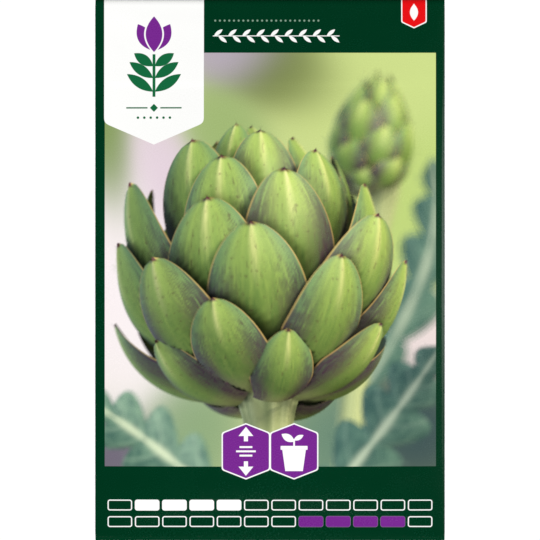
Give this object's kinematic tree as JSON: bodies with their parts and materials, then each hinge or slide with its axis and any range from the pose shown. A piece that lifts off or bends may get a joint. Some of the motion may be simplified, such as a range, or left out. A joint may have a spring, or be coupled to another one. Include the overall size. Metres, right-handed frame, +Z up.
{
  "type": "seed packet",
  "caption": "Flat folded-paper seed packet with a glued side seam and glued end flaps, lying on its back and gently swollen by the loose artichoke seeds that it holds.",
  "frame": {"origin": "on the resting surface, under the middle of the packet's back", "axes": "+Z up out of the printed front, +Y towards the top of the print, +X to the right of the print"},
  "size_m": [0.082, 0.127, 0.0049],
  "materials": {
    "printed_paper": "coated paper, offset printed, satin varnish",
    "dried_glue": "dried adhesive film",
    "seed_coat": "dry mottled seed coat"
  },
  "bodies": {
    "root": {"paper_packet": "printed_paper", "glue_seam": "dried_glue", "glue_top_flap": "dried_glue", "glue_bottom_flap": "dried_glue", "seed_01": "seed_coat", "seed_02": "seed_coat", "seed_03": "seed_coat", "seed_04": "seed_coat", "seed_05": "seed_coat", "seed_06": "seed_coat", "seed_07": "seed_coat", "seed_08": "seed_coat", "seed_09": "seed_coat", "seed_10": "seed_coat", "seed_11": "seed_coat", "seed_12": "seed_coat", "seed_13": "seed_coat", "seed_14": "seed_coat"}
  },
  "joints": []
}
